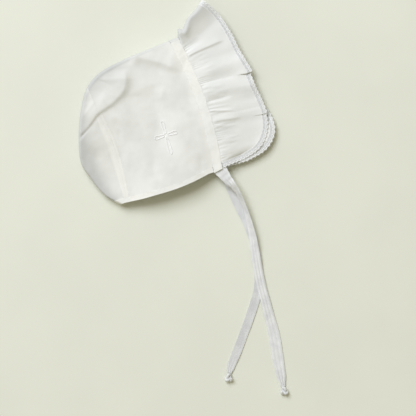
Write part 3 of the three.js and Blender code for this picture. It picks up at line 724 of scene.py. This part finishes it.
lowerEdge = smoothLine([
    (0, 0.53, 1.21), (0.04, 0.665, 1.135), (0.09, 0.785, 1.035), (0.165, 0.85, 0.91), (0.24, 0.895, 0.81),
    (0.32, 0.94, 0.72), (0.4, 1.0, 0.625), (0.5, 1.035, 0.51), (0.6, 1.085, 0.41), (0.7, 1.195, 0.32),
    (0.8, 1.225, 0.225), (0.87, 1.15, 0.152), (0.94, 0.95, 0.092), (1, 0.6, 0.06),
])
ruffleTop = pointAt(foldLine, shareWhere(foldLine, lambda x, y: x < frontX(y)))
ruffleBottom = bonnet["bandBottom"] + ruffle["laceWidth"]
seamLength = ruffleTop[1] - ruffleBottom


def ruffleEdge(along, side):
    def onEdge(edge):
        x = np.interp(along, edge[:, 0], edge[:, 1]) * ruffle["width"]
        y = np.interp(along, edge[:, 0], edge[:, 2]) * bonnet["faceHeight"]
        return np.stack([x, y], axis=-1)
    return np.where(side[:, None] < 0, onEdge(lowerEdge), onEdge(upperEdge))


def rufflePlace(along, out, side):
    upper = side > 0
    stepRise = np.zeros_like(along)
    slid = np.zeros_like(along)
    jut = np.zeros_like(along)
    for step in ruffle["steps"]:
        grow = ease(0.8, 1, out)
        past = (along - step["at"]) * seamLength
        q = past / step["width"]
        slid -= step["tuck"] * grow * 1.17 * q * np.exp(-q * q)
        before = np.exp(-np.clip(-past, 0, None) / step["ramp"])
        above = 0.5 - 0.5 * np.tanh(2.2 * q)
        stepRise += step["lift"] * grow * above * before
        after = np.exp(-np.clip(past, 0, None) / step["ramp"])
        jut += step["jut"] * grow * (above * before - (1 - above) * after / 2)
    folds = np.zeros_like(along)
    for fold in ruffle["folds"]:
        past = (along - mix(fold["seam"], fold["edge"], out)) * seamLength
        width = np.where(past < 0, fold["before"], fold["after"])
        fade = ease(0, 0.06, out) * (1 - ease(fold["until"] - 0.2, fold["until"], out))
        folds += fold["rise"] * fade * np.exp(-np.abs(past / width) ** 1.7)
    alongMm = along * seamLength
    turn = 2 * math.pi * alongMm / ruffle["gatherPitch"] + 5.0 * ripple(alongMm, out * 3, 9, 5.5)
    uneven = 0.55 + 0.75 * ripple(alongMm, out, 13, 4.2)
    gather = ruffle["gather"] * uneven * np.sin(turn) * np.exp(-out / 0.1) * ease(0, 0.02, out)
    soft = ruffle["softRise"] * ripple(alongMm, out * 9, 11, 1.7) * ease(0.02, 0.5, out)
    soft *= 1 - 0.6 * ease(0.7, 0.9, along)
    nearSeam = ease(0.02, 0.2, out) * (1 - ease(0.25, 0.6, out))
    soft += ruffle["seamSoftRise"] * ripple(alongMm, out * 10, 3.6, 9.1) * nearSeam
    at = np.clip(along + np.where(upper, slid / seamLength, 0), 0, 1)
    y = mix(ruffleTop[1], ruffleBottom, at)
    plan = mix(np.stack([frontX(y) + 0.05, y], axis=-1), ruffleEdge(at, side), out[:, None])
    plan[:, 0] += np.where(upper, jut + seamWaver(y) * (1 - ease(0, 0.12, out)), 0)
    inside = ease(0, 0.03, out) * ease(0, 0.1, 1 - out)
    for puff in ruffle["topPuffs"]:
        bump = np.exp(-((out - puff["out"]) / puff["wide"]) ** 2) * inside
        plan[:, 1] += puff["rise"] * bump * (1 - ease(0, 0.1, along))
    towardsEdge = ease(0, 0.6, out)
    rolled = quarterRound(along / mix(ruffle["seamRoll"], ruffle["edgeRoll"], towardsEdge))
    seamFold, edgeFold = bonnet["foldShare"] * bonnet["frontRise"], ruffle["edgeFold"] * ruffle["rise"]
    foldHeight = mix(seamFold, edgeFold, towardsEdge)
    edgeRise = mix(ruffle["rise"], ruffle["endRise"], ease(0.45, 0.8, along))
    high = mix(domeHeight(frontX(y), y), edgeRise, ease(0, 1, out)) + folds + stepRise + gather + soft
    wave = 0.5 - 0.5 * np.cos(2 * math.pi * ruffle["waves"] * along)
    lifted = mix(wave * ruffle["waveRise"], ruffle["lowerEndRise"], ease(0.62, 0.86, along))
    low = ruffle["wall"] / 2 + ease(0, 0.4, out) * lifted
    low = np.minimum(low, np.maximum(high - ruffle["layerGap"], ruffle["wall"] / 2))
    return np.column_stack([plan, mix(foldHeight, np.where(upper, high, low), rolled)])


def placeRuffle(u, v):
    side = np.where(v < 0.4, -1.0, 1.0)
    along = np.where(v < 0.4, (0.4 - v) / 0.4, (v - 0.4) / 0.6)
    along = mix(along ** 1.5, along, ease(0, 0.3, along))
    return rufflePlace(along, u, side)


def rufflePaintedFoldShade(finish):
    # painted shade along the ruffle's fold over the head
    u, v = finish.across()
    return (1 - finish.range(awayFrom(finish, v, 0.4), 0.025, 0.075)) * 0.7


rufflePiece = sheetPiece("ruffle_cloth", ruffle["columns"], ruffle["rows"], placeRuffle, ruffle["wall"])
ruffleCotton = clothFinish("ruffleCotton", 55, 380, cloth["ruffle"], cloth["ruffleShade"], paintedFoldShade=rufflePaintedFoldShade)
dress(rufflePiece, ruffleCotton, "cotton", "ruffle")
print("ruffle made")


# Lace along the ruffle's edge: a close net, with cords and finer threads on it
lace = {
    "pitch": 4.4, "cord": 0.75, "thread": 0.42, "heading": 3.3, "scallop": 4.3, "reach": 6.3,
    "netWall": 0.35, "netRows": 1100, "eyes": 3,
}


def lacePath():
    # along the lower layer's end and edge to the fold, then back along the upper layer
    ends, edge = np.linspace(0.03, 0.97, 14), np.linspace(0, 1, 700)
    along = np.concatenate([np.ones(14), edge[:0:-1], edge, np.ones(14)])
    out = np.concatenate([ends, np.ones(1399), ends[::-1]])
    side = np.concatenate([-np.ones(14 + 699), np.ones(700 + 14)])
    point = rufflePlace(along, out, side)
    before = ruffleEdge(np.clip(along - 0.02, 0, 1), side)
    after = ruffleEdge(np.clip(along + 0.02, 0, 1), side)
    step = after - before
    outward = np.column_stack([-step[:, 1], step[:, 0], np.zeros_like(along)])
    outward[:14] = outward[-14:] = (0, -1, 0)
    outward /= np.linalg.norm(outward, axis=1)[:, None]
    for _ in range(60):
        outward[1:-1] = (outward[:-2] + 2 * outward[1:-1] + outward[2:]) / 4
    return point, outward / np.linalg.norm(outward, axis=1)[:, None]


lacePoint, laceOut = lacePath()
laceLengths = lengthsAlong(lacePoint)
laceCount = int(laceLengths[-1] / lace["pitch"])


def laceSpot(at, away, lift=0.0):
    at = np.clip(at, 0, laceLengths[-1])
    point = np.array([np.interp(at, laceLengths, lacePoint[:, n]) for n in range(3)])
    outward = np.array([np.interp(at, laceLengths, laceOut[:, n]) for n in range(3)])
    place = point + outward * away
    place[2] = max(place[2] + lift, lace["cord"] * 0.5)
    return place


def laceCurve(start, pitch, centre, half, base, high, count=10):
    # an arch on the lace, over a share of its pitch
    spots = []
    for k in range(count + 1):
        turn = math.pi * k / count
        at = start + pitch * (centre - half * math.cos(turn))
        spots.append(laceSpot(at, base + high * math.sin(turn), 0.1))
    return spots


def laceLines():
    cords, threads = [], []
    pitch = laceLengths[-1] / laceCount
    heading, scallop, reach = lace["heading"], lace["scallop"], lace["reach"]
    for away in (0.3, heading):
        cords.append([laceSpot(n * pitch / 5, away, 0.1 * (n % 2)) for n in range(laceCount * 5 + 1)])
    for n in range(laceCount):
        start = n * pitch
        steps = [(start + k * pitch / 6, k % 2) for k in range(7)]
        threads.append([laceSpot(at, heading * odd, 0.15) for at, odd in steps])
        threads.append([laceSpot(at, mix(heading, scallop, odd)) for at, odd in steps])
        cords.append(laceCurve(start, pitch, 0.5, 0.5, scallop - 0.7, reach - scallop, 12))
        threads.append(laceCurve(start, pitch, 0.5, 0.34, heading, scallop - heading + 0.9))
        for centre, away in ((0.16, -0.6), (0.5, 0.2), (0.84, -0.6)):
            threads.append(laceCurve(start, pitch, centre, 0.11, reach - 1 + away, 1.2, 6))
    return cords, threads


def placeLaceNet(u, v):
    # the close ground between the threads, out to just inside the scallops
    at = v * laceLengths[-1]
    point = np.column_stack([np.interp(at, laceLengths, lacePoint[:, n]) for n in range(3)])
    outward = np.column_stack([np.interp(at, laceLengths, laceOut[:, n]) for n in range(3)])
    bulge = np.abs(np.sin(math.pi * at * laceCount / laceLengths[-1]))
    away = mix(0.06, lace["scallop"] + 0.4 + (lace["reach"] - lace["scallop"] - 0.6) * bulge, u)
    place = point + outward * away[:, None]
    place[:, 2] = np.maximum(place[:, 2], lace["netWall"])
    return place


def netFinish():
    finish = Finish("laceNet", 0.85, 0.2)
    u, v = finish.across()
    turns = 2 * math.pi * lace["eyes"]
    eyes = finish.waves(u * turns) * finish.waves(v * (turns * laceCount))
    dark = finish.range(eyes, 0.3, 0.8) * 0.7
    finish.feed("Base Color", finish.blend(dark, cloth["lace"], cloth["laceEye"]))
    finish.raised(eyes, 0.5, 0.0002)
    return finish.material


def threadFinish(name, base, roughness=0.8, sheen=0.2):
    finish = Finish(name, roughness, sheen)
    twist = finish.clouds(2600.0, 2.0)
    darker = tuple(c * 0.86 for c in base[:3]) + (1.0,)
    finish.feed("Base Color", finish.blend(finish.range(twist, 0.35, 0.6), darker, base))
    finish.raised(twist, 0.4, 0.00005)
    return finish.material


laceCords, laceThreads = laceLines()
laceNet = sheetPiece("lace_net", 8, lace["netRows"], placeLaceNet, lace["netWall"], 60)
dress(laceNet, netFinish(), "lace")
lacePiece = joined("ruffle_lace_thread", [
    threadPiece("lace_cords", laceCords, lace["cord"], 1),
    threadPiece("lace_threads", laceThreads, lace["thread"]),
])
dress(lacePiece, threadFinish("laceThread", cloth["laceThread"]), "lace", "ruffle_lace")
print("lace made")


# Ties: right and down from the bottom of the band as shares of the length, turn in degrees, layers
# of tape underneath, and share of the full width
ties = {
    "length": 250.0, "width": 9.5, "wall": 0.8, "solidWall": 1.0, "solidGap": 0.4, "bandHalfWall": 0.75,
    "layer": 1.1, "waver": 0.25, "crumple": 1.6, "foldedEdge": 0.22, "flatWidth": 11.2, "meanWidth": 10.8,
    "upper": [
        (0.006, -0.02, 0, 0, 1.6), (0.01, 0.005, 0, 0, 1.5), (0.019, 0.03, 2, 0.4, 1.25),
        (0.0285, 0.055, 12, 1, 1.05), (0.046, 0.09, 48, 1, 1), (0.0585, 0.13, 63, 1, 1),
        (0.067, 0.194, 64, 1, 1), (0.068, 0.264, 52, 1, 1), (0.064, 0.334, 34, 1, 1),
        (0.055, 0.404, 12, 1, 1), (0.046, 0.484, 0, 1, 1), (0.041, 0.554, 0, 1, 1),
        (0.0395, 0.624, 0, 1, 1.04), (0.038, 0.694, 0, 0.2, 1.14), (0.035, 0.774, 0, 0, 1.28),
        (0.024, 0.864, 0, 0, 1.3), (0.016, 0.944, 0, 0, 1.05), (0.011, 0.998, 0, 0, 0.5),
    ],
    "lower": [
        (0.014, -0.015, 0, 0, 1), (0.021, 0.029, 0, 0, 1), (0.031, 0.099, 0, 0, 1), (0.044, 0.184, 0, 0, 1),
        (0.057, 0.254, 0, 0, 1), (0.063, 0.334, 0, 0, 1), (0.056, 0.434, 0, 0, 1), (0.03, 0.539, 0, 0, 1),
        (-0.009, 0.609, 0, 0, 1), (-0.05, 0.669, 0, 0, 1), (-0.094, 0.729, 0, 0, 1), (-0.14, 0.791, 0, 0, 1),
        (-0.186, 0.849, 0, 0, 0.9), (-0.201, 0.876, 0, 0, 0.5),
    ],
}


def tieSpots(rows, hangHeight, hangLength):
    # middle line, direction across, and half width along the tape
    size, top = ties["length"], bonnet["bandBottom"]
    smooth = smoothLine([(right * size, top - down * size) for right, down, *_ in rows], 20)
    steps = np.linspace(0, len(rows) - 1, len(smooth))
    table = np.array(rows)
    i = np.minimum(steps.astype(int), len(rows) - 2)
    k = ease(0, 1, steps - i)
    turn, under, wide = (mix(table[i, n], table[i + 1, n], k) for n in (2, 3, 4))
    down = mix(table[i, 1], table[i + 1, 1], steps - i)
    turn = np.radians(turn)
    half = wide * ties["width"] / 2
    hang = hangHeight * (1 - ease(0, hangLength, down))
    height = ties["wall"] / 2 * np.cos(turn) + under * ties["layer"] + hang + half * np.sin(turn)
    along = np.gradient(smooth, axis=0)
    along /= np.linalg.norm(along, axis=1)[:, None]
    across = np.column_stack([-along[:, 1] * np.cos(turn), along[:, 0] * np.cos(turn), np.sin(turn)])
    return np.column_stack([smooth, height]), across, half


def tiePlacer(middle, across, half):
    lengths = lengthsAlong(middle)

    def place(u, v):
        at = v * lengths[-1]
        centre = np.column_stack([np.interp(at, lengths, middle[:, n]) for n in range(3)])
        side = np.column_stack([np.interp(at, lengths, across[:, n]) for n in range(3)])
        reach = np.interp(at, lengths, half)
        point = centre + side * (reach * (2 * u - 1))[:, None]
        squeezed = 1 - reach / half.max()
        waver = ripple(u * 9, at, 14, half.max()) * ease(0, 30, at) * ease(0, 30, lengths[-1] - at)
        point[:, 2] += ties["waver"] * (waver + 1)
        point[:, 2] += ties["crumple"] * squeezed * np.sin(3 * math.pi * u) ** 2
        point[:, 2] += ties["foldedEdge"] * (ease(0.72, 0.8, u) - ease(0.9, 0.98, u))
        return point
    return place


def tapeFinish(name, light, dark):
    finish = Finish(name, 0.85, 0.2)
    u, v = finish.across()
    edge = finish.range(u, 0.86, 0.9) * 0.6
    base = finish.blend(finish.range(finish.clouds(90.0, 4.0), 0.38, 0.62), light, dark)
    finish.feed("Base Color", finish.blend(edge, base, cloth["tape"]))
    finish.raised(finish.waves(u * (2 * math.pi * 26)), 0.5, 0.0001)
    return finish.material


# the upper tie takes the plain tape, the lower tie the tape with painted shade
tapesPlainAndPaintedShade = {
    "upper": tapeFinish("tape", cloth["tape"], cloth["tapeShade"]),
    "lower": tapeFinish("tapePaintedShade", cloth["tapePaintedShade"], cloth["tapePaintedShadeDark"]),
}
tieEnds = {}
underBand = ties["bandHalfWall"] + ties["solidGap"] + ties["solidWall"]
upperHang = float(domeHeight(0.0, bonnet["bandBottom"])) - underBand
for name, hangHeight, hangLength in (("upper", upperHang, 0.22), ("lower", 1.9, 0.06)):
    middle, across, half = tieSpots(ties[name], hangHeight, hangLength)
    piece = sheetPiece("tie_" + name + "_tape", 16, 420, tiePlacer(middle, across, half), ties["wall"])
    dress(piece, tapesPlainAndPaintedShade[name], "tape", "tie_" + name)
    tieEnds[name] = (middle[-1], middle[-1] - middle[-6])
print("ties made")


# Knots: the tape wound once round itself and drawn tight
knot = {"size": 3.9, "thick": 3.1, "narrow": 0.84, "middle": 1.35, "lie": 2.95, "wind": 0.34}


def knotPiece(name, end, direction, flip):
    direction = direction / np.linalg.norm(direction)
    sideways = np.array([-direction[1], direction[0], 0]) * flip
    line = []
    for n in range(61):
        turn = 2 * math.pi * mix(0.07, 0.93, n / 60)
        a = (math.sin(turn) + 2 * math.sin(2 * turn)) / 3
        b = (math.cos(turn) - 2 * math.cos(2 * turn)) / 3
        c = -math.sin(3 * turn)
        line.append((a, b, c))
    line = np.array(line) * knot["size"]
    places = []
    for a, b, c in line:
        place = end + direction * (b + knot["size"] * knot["middle"]) + sideways * a * knot["narrow"]
        place[2] = knot["lie"] + c * knot["wind"]
        places.append(place)
    return threadPiece(name, [places], knot["thick"], 4)


for name, flip in (("upper", 1), ("lower", -1)):
    piece = knotPiece("tie_" + name + "_knot_tape", *tieEnds[name], flip)
    # the knots take the tape with painted shade
    dress(piece, tapesPlainAndPaintedShade["lower"], "tape", "tie_" + name + "_knot")
print("knots made")


# Cross: four flared arms, each outlined in satin stitch
cross = {
    "at": (0.313, 0.361), "height": 38.0, "width": 26.0, "upperShare": 0.42, "stitch": 0.38, "gap": 0.34,
    "flare": 0.1, "middle": 0.05, "stand": 0.28, "border": 0.95, "start": 1.6, "slant": 0.3,
}


def crossLines():
    centre = planPoints([cross["at"]])[0]
    upper = cross["upperShare"] * cross["height"]
    aside = cross["width"] / 2
    arms = [(0, aside), (90, upper), (180, aside), (270, cross["height"] - upper)]
    lines = []
    for degrees, reach in arms:
        turn = math.radians(degrees)
        along = np.array([math.cos(turn), math.sin(turn)])
        aside = np.array([-along[1], along[0]])
        steps = int((reach - cross["start"]) / cross["gap"])
        for n in range(steps):
            at = cross["start"] + n * cross["gap"]
            share = at / reach
            half = cross["width"] * mix(cross["middle"], cross["flare"], share)
            half *= 1 - 0.9 * ease(0.86, 1.02, share)
            inner = max(0, half - cross["border"]) * ease(0.1, 0.25, share)
            for first, last in ((-half, -inner), (inner, half)):
                row = []
                for k in range(7):
                    forward = at + cross["slant"] * k / 6
                    spot = np.array(centre) + along * forward + aside * mix(first, last, k / 6)
                    row.append((spot[0], spot[1], cross["stand"] * (1 - (k / 3 - 1) ** 2)))
                lines.append(row)
    flat = np.array([spot for row in lines for spot in row])
    flat[:, 2] += clothHeight(flat[:, 0], flat[:, 1], 1.0, crown["wall"]) + crown["wall"] / 2 + 0.05
    return flat.reshape(len(lines), 7, 3)


crossPiece = threadPiece("embroidered_cross_thread", crossLines(), cross["stitch"], 1)
dress(crossPiece, threadFinish("satinThread", cloth["thread"], 0.42, 0.3), "embroidery", "embroidered_cross")
print("cross made")


# Sewing: small stitches along the seams
stitches = {"length": 1.9, "gap": 0.8, "thread": 0.34, "sink": 0.08}


def stitchesAlong(line, lift):
    line = np.asarray(line)
    total = lengthsAlong(line)[-1]
    count = int(total / (stitches["length"] + stitches["gap"]))
    made = []
    for n in range(count):
        start = (n + 0.15) / count
        end = start + stitches["length"] / total
        row = pointAt(line, np.linspace(start, min(1, end), 4))
        row[:, 2] += lift + np.array([-0.25, 0.05, 0.05, -0.25])
        made.append(row)
    return made


def bandLine(u):
    v = np.linspace(0.5, 0.998, 240)
    return placeBand(np.full_like(v, u), v)


def hemLine(u):
    v = np.linspace(0.5, 0.995, 200)
    return placeHem(np.full_like(v, u), v)


def backSeamLine(offset):
    t = np.linspace(0.26, 0.99, 150)
    seam = backSeamPoint(t, np.ones_like(t))
    seam[:, 0] += offset
    height = clothHeight(seam[:, 0], seam[:, 1], 1.0, crown["wall"]) + 0.28
    return np.column_stack([seam, height])


stitchLines = []
for u in (0.12, 0.9):
    stitchLines += stitchesAlong(bandLine(u), 0.5)
stitchLines += stitchesAlong(hemLine(0.82), 0.5)
for offset in (-2.9, 2.9):
    stitchLines += stitchesAlong(backSeamLine(offset), 0.3)
stitchPiece = threadPiece("stitches", stitchLines, stitches["thread"])
dress(stitchPiece, threadFinish("sewingThread", cloth["thread"]), "doubled_cotton")
print("stitches made")


# Floor and light
room = {
    "floor": colour(230, 232, 218),
    "key": 224.0, "keyColour": (0.86, 0.89, 1.0), "keySize": 2.9, "keyFrom": (-1.1, 3.0, 3.6),
    "sky": (1.0, 0.93, 0.7), "skyStrength": 0.395,
}


def makeRoom():
    deselectAll()
    bpy.ops.mesh.primitive_plane_add(size=6, location=(0, 0, -0.0002))
    floor = bpy.context.object
    floor.name = "floor"
    bpy.ops.object.transform_apply(location=True, rotation=True, scale=True)
    finish = Finish("paper", 0.95)
    finish.shader.inputs["Specular IOR Level"].default_value = 0.1
    darker = tuple(c * 0.97 for c in room["floor"][:3]) + (1.0,)
    mottle = finish.range(finish.clouds(9.0, 3.0), 0.3, 0.7)
    finish.feed("Base Color", finish.blend(mottle, darker, room["floor"]))
    floor.data.materials.append(finish.material)
    light = bpy.data.lights.new("key", "AREA")
    light.energy = room["key"]
    light.color = room["keyColour"]
    light.size = room["keySize"]
    lamp = bpy.data.objects.new("key", light)
    bpy.context.scene.collection.objects.link(lamp)
    lamp.location = room["keyFrom"]
    lamp.rotation_euler = (-Vector(room["keyFrom"])).to_track_quat("-Z", "Y").to_euler()
    world = bpy.data.worlds.new("room")
    bpy.context.scene.world = world
    world.use_nodes = True
    background = world.node_tree.nodes["Background"]
    background.inputs[0].default_value = (*room["sky"], 1.0)
    background.inputs[1].default_value = room["skyStrength"]
    bpy.context.scene.view_settings.view_transform = "Standard"


makeRoom()
print("room made")
